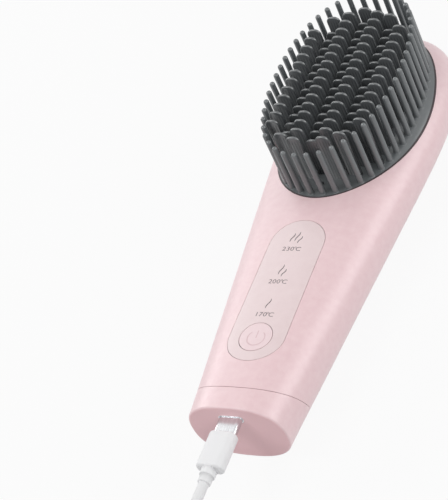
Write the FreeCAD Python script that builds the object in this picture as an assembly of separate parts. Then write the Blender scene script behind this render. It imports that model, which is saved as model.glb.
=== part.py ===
import FreeCAD, Part
import math
import os

# Cordless heated styling brush lying on its back: X across, Y from base to head, Z towards the bristles.
# Places along the brush are given from the base face, and the finished pieces are moved so that the
# origin is under the middle of the brush.

Vector = FreeCAD.Vector
ACROSS = Vector(1, 0, 0)
ALONG = Vector(0, 1, 0)
UP = Vector(0, 0, 1)

# Body, all in millimetres
handle_length = 90.7
plate_half_length = 43.9
plate_end_rim = 4.5
plate_side_rim = 3.49
base_width = 34.4
side_taper = 0.1088
body_depth = 25.3
section_power = 2.5
skin_points = 12
skin_stations = 14
crown_length = 93.0
crown_power = 4.0
dome_length = 43.0
dome_power = 3.0
base_round = 0.8
wall = 2.4
skin = 1.4
over_cut = 1.0
reach = 400.0
body_length = handle_length + 2 * plate_half_length + plate_end_rim
crown_start = body_length - crown_length
dome_start = body_length - dome_length
mid_height = body_depth / 2
front_height = mid_height + over_cut

# Base cap, parted from the body by a slanted seam
seam_at = 13.2
seam_slope = 0.377
seam_gap = 0.15
cap_floor = 2.2
lip_root = 2.0
lip_length = 3.0
lip_wall = 1.2
slip_fit = 0.1
lip_reach = seam_at + seam_slope * mid_height + lip_length * math.hypot(1, seam_slope)

# Control panel let into the front, between the base cap and the bristle plate
panel_start = 19.2
panel_neck = 10.8
panel_side_rim = 7.075
panel_gap = 0.15
panel_end = handle_length - panel_neck
panel_length = panel_end - panel_start
panel_width = base_width - 2 * panel_side_rim

# Power button and the switch that it works
button_inset = 9.7
button_radius = 5.7
button_gap = 0.2
button_travel = 0.5
flange_width = 0.7
flange_height = 0.6
flange_drop = 0.45
press_margin = 0.9
plunger_radius = 1.2
plunger_gap = 0.15
plunger_entry = 0.2
switch_width = 4.5
switch_floor = 0.2
well_clearance = 0.1
button_at = panel_start + button_inset
switch_height = switch_floor + plunger_entry + button_travel + well_clearance

# Light windows under the panel's three marks
mark_count = 3
mark_above_button = 12.3
mark_drop = 9.9
window_width = 9.0
window_share = 0.7
first_mark = button_at + mark_above_button
mark_pitch = (panel_end - mark_drop - first_mark) / (mark_count - 1)
window_length = window_share * mark_pitch
mark_places = [first_mark + mark * mark_pitch for mark in range(mark_count)]

# Bristle plate and what stands on it
plate_gap = 0.25
plate_ledge = 2.2
pin_side_inset = 3.6
pin_end_inset = 2.1
ring_power = 2.25
pin_count = 47
pin_radius = 1.05
pin_rise = 19.1
fin_side_inset = 4.5
fin_end_inset = 7.9
fin_pitch = 4.28
fin_rows = 16
fin_columns = 4
column_pitch = 11.15
fin_width = 5.3
fin_thickness = 1.2
fin_corner = 2.2
tall_rise = 19.1
short_rise = 15.6
slot_gap = 0.12
ion_hole_radius = 1.1
ion_inset = 6.5
plate_centre = handle_length + plate_half_length
pin_top = body_depth + pin_rise
tall_top = body_depth + tall_rise
short_top = body_depth + short_rise
field_centre = plate_centre - fin_pitch / 2
ion_place = plate_half_length - ion_inset

# Heater stack under the bristle plate, from the frame up
frame_side_inset = 4.5
frame_end_inset = 3.9
frame_drop = 4.05
frame_rim = 5.0
frame_thickness = 2.4
window_under = 2.0
mica_thickness = 0.6
heater_thickness = 3.0
heater_side_margin = 12.4
heater_end_margin = 11.3
hot_side_inset = 5.1
hot_end_inset = 7.6
hot_thickness = 2.6
screw_radius = 1.25
screw_head_radius = 2.4
screw_head_height = 1.3
screw_floor = 0.2
screw_fit = 0.05
screw_side_gap = 1.3
screw_end_inset = 4.0
post_radius = 3.2
boss_radius = 3.4
hot_half_length = plate_half_length - hot_end_inset
heater_length = 2 * (hot_half_length - heater_end_margin)
screw_along = heater_length / 2 - screw_end_inset
frame_half_length = plate_half_length - frame_end_inset
frame_bottom = mid_height - frame_drop
frame_top = frame_bottom + frame_thickness
heater_bottom = frame_top + mica_thickness
hot_bottom = heater_bottom + heater_thickness
hot_top = hot_bottom + hot_thickness
screw_bottom = wall + screw_floor

# Sensors beyond the ends of the heater
sensor_width = 3.2
sensor_length = 5.0
sensor_height = 2.0
sensor_gap = 1.5
fuse_radius = 1.5
fuse_length = 9.0
sensor_along = heater_length / 2 + sensor_gap + sensor_length / 2

# Ion generator and its needles
ion_width = 16.0
ion_length = 26.0
ion_head_room = 0.5
needle_radius = 0.4
needle_base_radius = 1.5
needle_base_height = 2.5
needle_recess = 1.0

# Battery, chassis and boards in the handle
cell_floor = 0.5
cell_gap = 0.15
cell_end_gap = 2.2
tab_thickness = 0.3
tab_width = 7.0
chassis_side = 4.4
chassis_end_wall = 1.6
chassis_clearance = 0.27
chassis_gap = 0.15
rib_width = 5.0
rib_windows = 4
board_thickness = 1.0
board_side_rim = 6.2
board_start_inset = 0.75
board_end_inset = 1.7
board_gap = 0.15
led_width = 2.0
led_height = 0.7
led_spread = 2.2
board_screw_radius = 0.9
board_screw_head = 1.7
board_screw_height = 0.8
board_screw_depth = 2.0
board_screw_side = 1.8
board_screw_inset = 3.0
chassis_start = lip_reach + chassis_clearance
cell_start = chassis_start + chassis_end_wall + chassis_gap + tab_thickness
cell_length = handle_length - cell_end_gap - cell_start
rib_pitch = cell_length / rib_windows
rib_window = rib_pitch - rib_width
board_width = base_width - 2 * board_side_rim
board_start = chassis_start + board_start_inset
board_length = panel_end - board_end_inset - board_start
board_screw_across = board_width / 2 - board_screw_side

# Levels in the handle, from the button down to the cell
flange_top = body_depth - skin - flange_drop
button_bottom = flange_top - flange_height
switch_top = button_bottom - button_travel - press_margin
board_top = switch_top - switch_height
rail_top = board_top - board_thickness
cell_radius = (rail_top - board_gap - wall - cell_floor) / 2
cell_level = wall + cell_floor + cell_radius
chassis_half_width = cell_radius + chassis_side

# Plug of the charging cable, drawn with its tip just inside the socket
plug_width = 8.25
plug_height = 2.4
plug_wall = 0.3
plug_tip = 6.65
plug_in = 0.7
grip_width = 9.6
grip_height = 5.2
grip_length = 13.5
grip_round = 2.3
boot_length = 3.4
boot_start_radius = 2.3
boot_end_radius = 2.0
grip_start = plug_in - plug_tip
grip_end = grip_start - grip_length
boot_end = grip_end - boot_length

# Charging socket in the base face and the board that carries it
port_drop = 5.65
socket_width = 8.94
socket_height = 3.2
socket_wall = 0.3
socket_gap = 0.05
tongue_width = 6.7
tongue_thickness = 0.7
tongue_recess = 1.0
socket_back = 1.6
socket_clearance = 0.3
charge_board_side = 8.7
charge_board_length = 11.0
charge_board_start = 2.6
rest_width = 2.0
rest_root = 0.5
port_height = body_depth - port_drop
socket_depth = plug_tip + socket_clearance
socket_length = socket_depth + socket_back
charge_board_width = base_width - 2 * charge_board_side

# Cable wound into a coil beyond the plug, and its far plug
cable_radius = 1.7
bend_share = 0.45
coil_turns = 1.5
coil_layers = 4
climb_turns = 0.5
coil_step = 4.5
coil_layer_step = 4.2
coil_mean_radius = 18.7
coil_distance = 108.0
coil_aside = 6.0
coil_rest_gap = 0.1
lead_straight = 10.0
lead_settle = 8.0
cable_runs = 5
tie_thickness = 0.8
tie_width = 8.0
tie_gap = 0.6
tail_straight = 6.0
tail_fall = 30.0
tail_settle = 6.0
a_grip_width = 15.6
a_grip_height = 8.0
a_grip_length = 26.0
a_grip_round = 1.6
a_tip_width = 12.0
a_tip_height = 4.5
a_tip_length = 12.5
a_tip_wall = 0.4
a_tongue_height = 1.8
coil_spread = coil_turns * coil_step / 2
coil_inner = coil_mean_radius - coil_spread
coil_outer = coil_mean_radius + coil_spread
coil_sweep = coil_layers * coil_turns + (coil_layers - 1) * climb_turns
coil_x = coil_outer - coil_aside
coil_level = tie_thickness + cable_radius + coil_rest_gap
coil_top = coil_level + (coil_layers - 1) * coil_layer_step
coil_stub = 2 * cable_radius


# Shared forms

def half_width(place, inset):
    """Half the body's width: a straight taper, rounded in at the head's end."""
    rise = max(0.0, place - crown_start) / (body_length - inset - crown_start)
    return (base_width / 2 + side_taper * place - inset) * math.sqrt(1 - rise ** crown_power)


def half_depth(place, inset):
    """Half the body's depth: level, and domed at the head's end."""
    rise = max(0.0, place - dome_start) / (body_length - inset - dome_start)
    return (mid_height - inset) * math.sqrt(1 - rise ** dome_power)


def half_skin(inset, front):
    """Front (1) or back (-1) skin of the body through superellipse rows, closer towards the head's end."""
    tip = body_length - inset
    rows = []
    for station in range(skin_stations + 1):
        place = tip * (1 - (1 - station / skin_stations) ** 2)
        row = []
        for step in range(skin_points + 1):
            turn = math.pi * step / skin_points
            side = math.copysign(abs(math.cos(turn)) ** (2 / section_power), math.cos(turn))
            rise = front * abs(math.sin(turn)) ** (2 / section_power)
            x = half_width(place, inset) * side
            z = mid_height + half_depth(place, inset) * rise
            row.append(Vector(x, place, z))
        rows.append(row)
    surface = Part.BSplineSurface()
    surface.interpolate(rows)
    return surface.toShape()


def body_form(inset):
    """Solid body drawn in by an inset, from the base face to its rounded head."""
    halves = [half_skin(inset, 1), half_skin(inset, -1)]
    rim = [edge for half in halves for edge in half.Edges if edge.BoundBox.YMax < 0.01]
    shell = Part.makeShell(halves + [Part.Face(Part.Wire(rim))])
    shell.sewShape()
    return Part.Solid(shell)


def seam_slab(near, far):
    """Slab between two planes level with the slanted seam."""
    slab = Part.makeBox(reach, far - near, reach, Vector(-reach / 2, near, -reach / 2))
    slab.rotate(Vector(0, 0, 0), ACROSS, math.degrees(math.atan(seam_slope)))
    slab.translate(Vector(0, seam_at, mid_height))
    return slab


def block(width, length, height, place, bottom, x=0.0):
    """Box centred across on x, starting at a place along the brush."""
    return Part.makeBox(width, length, height, Vector(x - width / 2, place, bottom))


def stadium(width, length, height, place, bottom):
    """Upright slab with round ends, along the brush."""
    radius = width / 2
    near = place + radius
    far = place + length - radius
    side_a = Part.LineSegment(Vector(radius, near, bottom), Vector(radius, far, bottom))
    tip_a = Vector(0, far + radius, bottom)
    end_a = Part.Arc(Vector(radius, far, bottom), tip_a, Vector(-radius, far, bottom))
    side_b = Part.LineSegment(Vector(-radius, far, bottom), Vector(-radius, near, bottom))
    tip_b = Vector(0, near - radius, bottom)
    end_b = Part.Arc(Vector(-radius, near, bottom), tip_b, Vector(radius, near, bottom))
    wire = Part.Wire([side.toShape() for side in (side_a, end_a, side_b, end_b)])
    return Part.Face(wire).extrude(UP * height)


def flat_stadium(width, height, length, place, level, x=0.0):
    """Bar with a round-ended section, lying along the brush."""
    radius = height / 2
    half = width / 2 - radius
    top = level + radius
    low = level - radius
    edge_a = Part.LineSegment(Vector(x - half, place, low), Vector(x + half, place, low))
    end_a = Part.Arc(Vector(x + half, place, low), Vector(x + half + radius, place, level),
                     Vector(x + half, place, top))
    edge_b = Part.LineSegment(Vector(x + half, place, top), Vector(x - half, place, top))
    end_b = Part.Arc(Vector(x - half, place, top), Vector(x - half - radius, place, level),
                     Vector(x - half, place, low))
    wire = Part.Wire([edge.toShape() for edge in (edge_a, end_a, edge_b, end_b)])
    return Part.Face(wire).extrude(ALONG * length)


def oval(half_across, half_along, bottom, height):
    """Upright elliptical slab centred on the bristle plate."""
    centre = Vector(0, plate_centre, bottom)
    far = centre + ALONG * half_along
    side = centre + ACROSS * half_across
    curve = Part.Ellipse(far, side, centre) if half_along > half_across else Part.Ellipse(side, far, centre)
    return Part.Face(Part.Wire(curve.toShape())).extrude(UP * height)


def rod(radius, height, x, place, bottom):
    """Upright round bar."""
    return Part.makeCylinder(radius, height, Vector(x, place, bottom), UP)


outer = body_form(0.0)
under_skin = body_form(skin)
inner = body_form(wall)

# Widths that follow the body's width at the middle of the bristle plate
plate_half_width = half_width(plate_centre, 0.0) - plate_side_rim
frame_half_width = plate_half_width - frame_side_inset
hot_half_width = plate_half_width - hot_side_inset
heater_width = 2 * (hot_half_width - heater_side_margin)
screw_across = heater_width / 2 + post_radius + screw_side_gap


def screw_places():
    """Four heater screws, two by two about the middle of the bristle plate."""
    return [(x * screw_across, plate_centre + y * screw_along) for x in (-1, 1) for y in (-1, 1)]


def board_screw_places():
    """Four board screws near the corners of the control board."""
    ends = (board_start + board_screw_inset, board_start + board_length - board_screw_inset)
    return [(x * board_screw_across, place) for x in (-1, 1) for place in ends]


# Casing

def make_body_shell():
    """One-piece sleeve: hollow, with recesses for panel and bristle plate and four screw bosses."""
    shell = outer.common(seam_slab(seam_gap / 2, reach)).cut(inner)
    panel_hole = stadium(panel_width + 2 * panel_gap, panel_length + 2 * panel_gap, front_height,
                         panel_start - panel_gap, mid_height)
    plate_hole = oval(plate_half_width + plate_gap, plate_half_length + plate_gap, mid_height, front_height)
    shell = shell.cut(panel_hole.cut(under_skin)).cut(plate_hole.cut(under_skin))
    cuts = [oval(plate_half_width - plate_ledge, plate_half_length - plate_ledge, mid_height, front_height)]
    cuts.append(rod(button_radius + flange_width + button_gap, front_height, 0, button_at, mid_height))
    for place in mark_places:
        cuts.append(block(window_width, window_length, front_height, place - window_length / 2, mid_height))
    shell = shell.cut(Part.makeCompound(cuts))
    for x, place in screw_places():
        boss = rod(boss_radius, frame_bottom, x, place, 0).common(outer)
        hole = rod(screw_radius + screw_fit, frame_bottom - screw_bottom, x, place, screw_bottom)
        shell = shell.fuse(boss).cut(hole)
    return shell


def make_base_cap():
    """End cap with a slanted rim, a lip that slips into the sleeve and rests for the charging board."""
    rounded = outer.makeFillet(base_round, [edge for edge in outer.Edges if edge.BoundBox.YMax < 0.01])
    cap = rounded.common(seam_slab(-reach, -seam_gap / 2))
    room = block(reach, reach, reach, cap_floor, -reach / 2)
    narrow = body_form(wall + slip_fit + lip_wall)
    wide = inner.common(seam_slab(-reach, -lip_root)).common(room)
    cap = cap.cut(wide).cut(narrow.common(room))
    lip = body_form(wall + slip_fit).common(seam_slab(-lip_root, lip_length)).cut(narrow)
    cap = cap.fuse(lip)
    rest_top = port_height - socket_height / 2 - board_thickness
    for x in (-1, 1):
        place_x = x * (charge_board_width / 2 - rest_width)
        rest = block(rest_width, charge_board_length, rest_top, cap_floor - rest_root, 0, place_x)
        cap = cap.fuse(rest.common(outer).common(seam_slab(-reach, -lip_root)))
    port = flat_stadium(socket_width + 2 * socket_gap, socket_height + 2 * socket_gap, 2 * cap_floor,
                        -cap_floor, port_height)
    return cap.cut(port)


def make_control_panel():
    """Stadium cover flush with the front, with a round hole for the button."""
    panel = stadium(panel_width, panel_length, front_height, panel_start, mid_height)
    hole = rod(button_radius + button_gap, front_height, 0, button_at, mid_height)
    return panel.common(outer).cut(under_skin).cut(hole)


# Bristles

def ring_places():
    """Pin places at equal steps round a squarish oval inside the plate's edge."""
    across = plate_half_width - pin_side_inset
    along = plate_half_length - pin_end_inset
    samples = 720
    points = []
    for step in range(samples + 1):
        turn = 2 * math.pi * step / samples
        side = math.copysign(abs(math.sin(turn)) ** (2 / ring_power), math.sin(turn))
        end = math.copysign(abs(math.cos(turn)) ** (2 / ring_power), math.cos(turn))
        points.append((across * side, plate_centre - along * end))
    walked = [0.0]
    for step in range(samples):
        walked.append(walked[-1] + math.dist(points[step], points[step + 1]))
    places = []
    for pin in range(pin_count):
        goal = (pin + 0.5) / pin_count * walked[-1]
        index = next(i for i in range(samples + 1) if walked[i] >= goal)
        places.append(points[index])
    return places


def make_pin(x, place):
    """Round pin with a domed tip."""
    shoulder = pin_top - pin_radius
    tilt = pin_radius * math.sqrt(0.5)
    corners = [Vector(0, 0, mid_height), Vector(pin_radius, 0, mid_height), Vector(pin_radius, 0, shoulder)]
    tip = Vector(0, 0, pin_top)
    edges = [Part.LineSegment(corners[0], corners[1]), Part.LineSegment(corners[1], corners[2])]
    edges.append(Part.Arc(corners[2], Vector(tilt, 0, shoulder + tilt), tip))
    edges.append(Part.LineSegment(tip, corners[0]))
    face = Part.Face(Part.Wire([edge.toShape() for edge in edges]))
    pin = face.revolve(Vector(0, 0, 0), UP, 360)
    pin.translate(Vector(x, place, 0))
    return pin


def make_fin(bottom, top, x, place):
    """Upright blade with rounded upper corners, thin along the brush."""
    near = place - fin_thickness / 2
    half = fin_width / 2
    shoulder = top - fin_corner
    flat = half - fin_corner
    tilt = fin_corner * math.sqrt(0.5)

    def at(across, height):
        return Vector(x + across, near, height)

    edges = [Part.LineSegment(at(-half, bottom), at(half, bottom))]
    edges.append(Part.LineSegment(at(half, bottom), at(half, shoulder)))
    edges.append(Part.Arc(at(half, shoulder), at(flat + tilt, shoulder + tilt), at(flat, top)))
    edges.append(Part.LineSegment(at(flat, top), at(-flat, top)))
    edges.append(Part.Arc(at(-flat, top), at(-flat - tilt, shoulder + tilt), at(-half, shoulder)))
    edges.append(Part.LineSegment(at(-half, shoulder), at(-half, bottom)))
    face = Part.Face(Part.Wire([edge.toShape() for edge in edges]))
    return face.extrude(ALONG * fin_thickness)


def in_field(x, offset):
    """Whether a blade's place lies in the oval field inside the ring of pins."""
    side = x / (plate_half_width - fin_side_inset)
    end = offset / (plate_half_length - fin_end_inset)
    return side ** 2 + end ** 2 <= 1


def fin_places(short):
    """Places of the short or of the tall blades, in columns that stand half a pitch apart in turn.

    The columns in between hold the short blades, but the last one is tall where the field ends.
    """
    places = []
    for step in range(2 * fin_rows):
        offset = (step - (fin_rows - 1)) * fin_pitch / 2
        between = step % 2
        columns = fin_columns - between
        for column in range(columns):
            x = (column - (columns - 1) / 2) * column_pitch
            heated = between == 1 and in_field(x, abs(offset) + fin_pitch)
            if in_field(x, offset) and heated == short:
                places.append((x, field_centre + offset))
    return places


def make_ring_pins():
    """Ring of guard pins standing on the bristle plate."""
    return Part.makeCompound([make_pin(x, place) for x, place in ring_places()]).cut(outer)


def make_comb_fins():
    """Tall guard blades standing on the bristle plate."""
    blades = [make_fin(mid_height, tall_top, x, place) for x, place in fin_places(False)]
    return Part.makeCompound(blades).cut(outer)


def make_heat_fins():
    """Short coated blades that rise from the heating plate through slots."""
    return Part.makeCompound([make_fin(hot_top, short_top, x, place) for x, place in fin_places(True)])


def make_bristle_plate():
    """Oval cover flush with the head, with slots for the heating fins and two ion outlets."""
    plate = oval(plate_half_width, plate_half_length, mid_height, front_height).common(outer).cut(under_skin)
    holes = []
    for x, place in fin_places(True):
        length = fin_thickness + 2 * slot_gap
        holes.append(block(fin_width + 2 * slot_gap, length, front_height, place - length / 2, mid_height, x))
    for side in (-1, 1):
        holes.append(rod(ion_hole_radius, front_height, 0, plate_centre + side * ion_place, mid_height))
    return plate.cut(Part.makeCompound(holes))


# Heater

def make_heating_plate():
    """Aluminium plate with counterbored screw holes."""
    plate = oval(hot_half_width, hot_half_length, hot_bottom, hot_thickness)
    for x, place in screw_places():
        plate = plate.cut(rod(screw_radius + screw_fit, hot_thickness, x, place, hot_bottom))
        plate = plate.cut(rod(screw_head_radius + screw_fit, screw_head_height, x, place,
                              hot_top - screw_head_height))
    return plate


def make_heater_frame():
    """Oval carrier with a floor, four posts under the heating plate and a window each side."""
    frame = oval(frame_half_width, frame_half_length, frame_bottom, frame_thickness)
    gap_width = frame_half_width - frame_rim - heater_width / 2 + window_under
    for side in (-1, 1):
        window = block(gap_width, 2 * screw_along - 4 * post_radius, frame_thickness, 0, frame_bottom,
                       side * (heater_width / 2 - window_under + gap_width / 2))
        window.translate(ALONG * (plate_centre - screw_along + 2 * post_radius))
        frame = frame.cut(window)
    for x, place in screw_places():
        frame = frame.fuse(rod(post_radius, hot_bottom - frame_bottom, x, place, frame_bottom))
    for x, place in screw_places():
        frame = frame.cut(rod(screw_radius + screw_fit, hot_bottom - frame_bottom, x, place, frame_bottom))
    return frame


def make_insulation_sheet():
    """Mica sheet between frame and heater."""
    return block(heater_width, heater_length, mica_thickness, plate_centre - heater_length / 2, frame_top)


def make_ceramic_heater():
    """Flat ceramic heating element pressed under the heating plate."""
    near = plate_centre - heater_length / 2
    return block(heater_width, heater_length, heater_thickness, near, heater_bottom)


def make_heater_screws():
    """Four screws through heating plate and frame into the sleeve's bosses."""
    screws = []
    for x, place in screw_places():
        head_bottom = hot_top - screw_head_height
        head = rod(screw_head_radius, screw_head_height, x, place, head_bottom)
        screws.append(head.fuse(rod(screw_radius, head_bottom - screw_bottom, x, place, screw_bottom)))
    return Part.makeCompound(screws)


def make_thermistor():
    """Temperature sensor bead against the heating plate."""
    return block(sensor_width, sensor_length, sensor_height, plate_centre + sensor_along - sensor_length / 2,
                 hot_bottom - sensor_height)


def make_thermal_fuse():
    """Small round fuse against the heating plate, at the end away from the sensor."""
    start = Vector(-fuse_length / 2, plate_centre - sensor_along, hot_bottom - fuse_radius)
    return Part.makeCylinder(fuse_radius, fuse_length, start, ACROSS)


# Ion generator

def make_ion_generator():
    """High-voltage module lying on the back wall of the head."""
    drop = half_depth(plate_centre, wall) * (1 - (ion_width / 2 / half_width(plate_centre, wall))
                                            ** section_power) ** (1 / section_power)
    bottom = mid_height - drop + slip_fit
    height = frame_bottom - ion_head_room - bottom
    return block(ion_width, ion_length, height, plate_centre - ion_length / 2, bottom)


def make_ion_needles():
    """Two emitter needles on insulating feet, under the outlets."""
    needles = []
    for side in (-1, 1):
        place = plate_centre + side * ion_place
        height = mid_height + half_depth(place, 0.0) - needle_recess - frame_top
        foot = rod(needle_base_radius, needle_base_height, 0, place, frame_top)
        needles.append(foot.fuse(rod(needle_radius, height, 0, place, frame_top)))
    return Part.makeCompound(needles)


# Handle

def make_battery_cell():
    """Round lithium cell."""
    return Part.makeCylinder(cell_radius, cell_length, Vector(0, cell_start, cell_level), ALONG)


def make_battery_tabs():
    """Nickel tab on each end of the cell."""
    bottom = cell_level - tab_width / 2
    tabs = []
    for place in (cell_start - tab_thickness, cell_start + cell_length):
        tabs.append(block(tab_width, tab_thickness, rail_top - board_gap - bottom, place, bottom))
    return Part.makeCompound(tabs)


def trough(radius, length, place):
    """Bed of the cell: half round below its axis, straight sided and open above."""
    top = cell_level + 2 * radius
    corners = [Vector(-radius, place, cell_level), Vector(radius, place, cell_level)]
    edges = [Part.Arc(corners[0], Vector(0, place, cell_level - radius), corners[1])]
    edges.append(Part.LineSegment(corners[1], Vector(radius, place, top)))
    edges.append(Part.LineSegment(Vector(radius, place, top), Vector(-radius, place, top)))
    edges.append(Part.LineSegment(Vector(-radius, place, top), corners[0]))
    return Part.Face(Part.Wire([edge.toShape() for edge in edges])).extrude(ALONG * length)


def make_chassis():
    """Cradle between cell and sleeve: trough, end walls and rails that carry the control board."""
    length = cell_length + 2 * (cell_start - chassis_start)
    cradle = block(2 * chassis_half_width, length, rail_top, chassis_start, 0)
    cradle = cradle.common(body_form(wall + slip_fit))
    cradle = cradle.cut(trough(cell_radius + cell_gap, length - 2 * chassis_end_wall,
                               chassis_start + chassis_end_wall))
    window_bottom = cell_level - cell_radius / 2
    window_height = rail_top - board_screw_depth - window_bottom
    for window in range(rib_windows):
        place = cell_start + cell_length / 2 + (window - (rib_windows - 1) / 2) * rib_pitch - rib_window / 2
        cradle = cradle.cut(block(reach, rib_window, window_height, place, window_bottom))
    holes = [rod(board_screw_radius + screw_fit, board_screw_depth, x, place, rail_top - board_screw_depth)
             for x, place in board_screw_places()]
    return cradle.cut(Part.makeCompound(holes))


def make_control_board():
    """Circuit board on the chassis rails."""
    board = block(board_width, board_length, board_thickness, board_start, rail_top)
    holes = [rod(board_screw_radius + screw_fit, board_thickness, x, place, rail_top)
             for x, place in board_screw_places()]
    return board.cut(Part.makeCompound(holes))


def make_board_screws():
    """Four small screws that hold the board."""
    screws = []
    for x, place in board_screw_places():
        head = rod(board_screw_head, board_screw_height, x, place, board_top)
        bottom = rail_top - board_screw_depth
        screws.append(head.fuse(rod(board_screw_radius, board_top - bottom, x, place, bottom)))
    return Part.makeCompound(screws)


def make_tact_switch():
    """Low switch body with a well for its plunger."""
    body = block(switch_width, switch_width, switch_height, button_at - switch_width / 2, board_top)
    return body.cut(rod(plunger_radius + plunger_gap, switch_height, 0, button_at, board_top + switch_floor))


def make_indicator_leds():
    """Pair of lamps under each temperature mark."""
    lamps = []
    for place in mark_places:
        for side in (-1, 1):
            near = place + side * led_spread - led_width / 2
            lamps.append(block(led_width, led_width, led_height, near, board_top))
    return Part.makeCompound(lamps)


def make_charging_board():
    """Board behind the base face that carries the socket."""
    return block(charge_board_width, charge_board_length, board_thickness, charge_board_start,
                 port_height - socket_height / 2 - board_thickness)


def make_usb_socket_shell():
    """Drawn steel sleeve of the socket, flush with the base face."""
    outside = flat_stadium(socket_width, socket_height, socket_length, 0, port_height)
    room = flat_stadium(socket_width - 2 * socket_wall, socket_height - 2 * socket_wall, socket_length, 0,
                        port_height)
    return outside.cut(room)


def make_usb_socket_tongue():
    """Contact tongue on the insulator that closes the back of the sleeve."""
    back_width = socket_width - 2 * socket_wall
    back = flat_stadium(back_width, socket_height - 2 * socket_wall, socket_back, socket_depth, port_height)
    tongue = block(tongue_width, socket_depth - tongue_recess, tongue_thickness, tongue_recess,
                   port_height - tongue_thickness / 2)
    return back.fuse(tongue)


# Button, modelled at rest

def make_power_button():
    """Round key flush with the panel, with a flange that holds it in."""
    key = rod(button_radius, front_height, 0, button_at, mid_height).common(outer)
    key = key.cut(block(reach, reach, reach, -reach / 2, button_bottom - reach))
    flange = rod(button_radius + flange_width, flange_height, 0, button_at, button_bottom)
    return key.fuse(flange)


def make_switch_plunger():
    """Stem between key and switch."""
    bottom = switch_top - plunger_entry
    return rod(plunger_radius, button_bottom - bottom, 0, button_at, bottom)


# Charging cable

def ease(share):
    """Smooth step from 0 to 1, level at both ends."""
    return share ** 2 * (3 - 2 * share)


def eased_run(start, end, heading):
    """Points that go ahead steadily along a heading, and aside and down with a soft start and stop."""
    step = end - start
    ahead = heading * step.dot(heading)
    aside = step - ahead
    shares = [run / cable_runs for run in range(cable_runs + 1)]
    return [start + ahead * share + aside * ease(share) for share in shares]


def make_lead_route():
    """Route straight out of the boot, down to the table and along it to the coil."""
    start = Vector(0, boot_end, port_height)
    end = Vector(-coil_aside, coil_stub - coil_distance, coil_level)
    return [start] + eased_run(start - ALONG * lead_straight, end + ALONG * lead_settle, -ALONG) + [end]


def make_tail_route():
    """Route off the top of the coil, back beside the lead and down to the far plug lying on the table."""
    start = Vector(coil_x + coil_outer, coil_stub - coil_distance, coil_top)
    leave = start + ALONG * tail_straight
    end = Vector(leave.x, leave.y + tail_fall, a_grip_height / 2)
    return [start] + eased_run(leave, end, ALONG) + [end + ALONG * tail_settle]


lead_route = make_lead_route()
tail_route = make_tail_route()


def make_usb_plug_shell():
    """Seamless steel tip of the cable's plug."""
    outside = flat_stadium(plug_width, plug_height, plug_tip, grip_start, port_height)
    room = flat_stadium(plug_width - 2 * plug_wall, plug_height - 2 * plug_wall, plug_tip, grip_start,
                        port_height)
    return outside.cut(room)


def make_usb_plug_body():
    """Moulded grip of the plug."""
    grip = block(grip_width, grip_length, grip_height, grip_end, port_height - grip_height / 2)
    edges = [edge for edge in grip.Edges if edge.BoundBox.YLength > grip_length / 2]
    return grip.makeFillet(grip_round, edges)


def make_plug_boot():
    """Tapered strain relief behind the grip."""
    start = Vector(0, grip_end, port_height)
    return Part.makeCone(boot_start_radius, boot_end_radius, boot_length, start, -ALONG)


def make_cord(route):
    """Round cord along straight runs joined by tangent arcs as wide as the runs allow."""
    edges = []
    start = route[0]
    radii = []
    for index in range(1, len(route) - 1):
        corner = route[index]
        before = corner - route[index - 1]
        after = route[index + 1] - corner
        half = before.getAngle(after) / 2
        trim = bend_share * min(before.Length, after.Length)
        radius = trim / math.tan(half)
        radii.append(radius)
        before.normalize()
        after.normalize()
        enter = corner - before * trim
        leave = corner + after * trim
        inward = after - before
        inward.normalize()
        middle = corner + inward * (radius / math.cos(half) - radius)
        edges.append(Part.LineSegment(start, enter).toShape())
        edges.append(Part.Arc(enter, middle, leave).toShape())
        start = leave
    edges.append(Part.LineSegment(start, route[-1]).toShape())
    path = Part.Wire(edges)
    first = route[1] - route[0]
    cord = path.makePipeShell([Part.Wire(Part.makeCircle(cable_radius, route[0], first))], True, False)
    print("cord radii", [round(radius, 1) for radius in radii], "length", round(path.Length, 1),
          "volume share", round(cord.Volume / (math.pi * cable_radius ** 2 * path.Length), 4))
    return cord


def coil_point(turns):
    """Point of the coil: in and out at a steady rate, climbing a layer in each half turn between."""
    layer = min(int(turns / (coil_turns + climb_turns)), coil_layers - 1)
    local = turns - layer * (coil_turns + climb_turns)
    wound = min(local, coil_turns) * coil_step
    radius = coil_outer - wound if layer % 2 == 0 else coil_inner + wound
    climb = max(0.0, local - coil_turns) / climb_turns
    level = coil_level + coil_layer_step * (layer + (1 - math.cos(math.pi * climb)) / 2)
    angle = math.pi + 2 * math.pi * turns
    return Vector(coil_x + radius * math.cos(angle), -coil_distance + radius * math.sin(angle), level)


def coil_heading(turns):
    """Direction of the coil, level and square to the radius at its two ends."""
    nudge = 1e-4
    if turns <= 0 or turns >= coil_sweep:
        angle = math.pi + 2 * math.pi * turns
        return Vector(-math.sin(angle), math.cos(angle), 0)
    heading = coil_point(turns + nudge) - coil_point(turns - nudge)
    heading.normalize()
    return heading


def arc_from(start, heading, end):
    """Arc that leaves start along heading and ends at end."""
    chord = end - start
    bow = heading - chord * (heading.dot(chord) / chord.dot(chord))
    if bow.Length < 1e-6:
        return Part.LineSegment(start, end).toShape()
    angle = heading.getAngle(chord)
    bow.normalize()
    return Part.Arc(start, start + chord / 2 + bow * (chord.Length / 2 * math.tan(angle / 2)), end).toShape()


def biarc(start, start_heading, end, end_heading):
    """Two arcs that join two points along given headings."""
    chord = end - start
    both = start_heading + end_heading
    spread = 2 * (1 - start_heading.dot(end_heading))
    lean = chord.dot(both)
    reach_out = (math.sqrt(lean ** 2 + spread * chord.dot(chord)) - lean) / spread
    joint = (start + start_heading * reach_out + end - end_heading * reach_out) / 2
    return [arc_from(start, start_heading, joint), arc_from(end, -end_heading, joint)]


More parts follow.
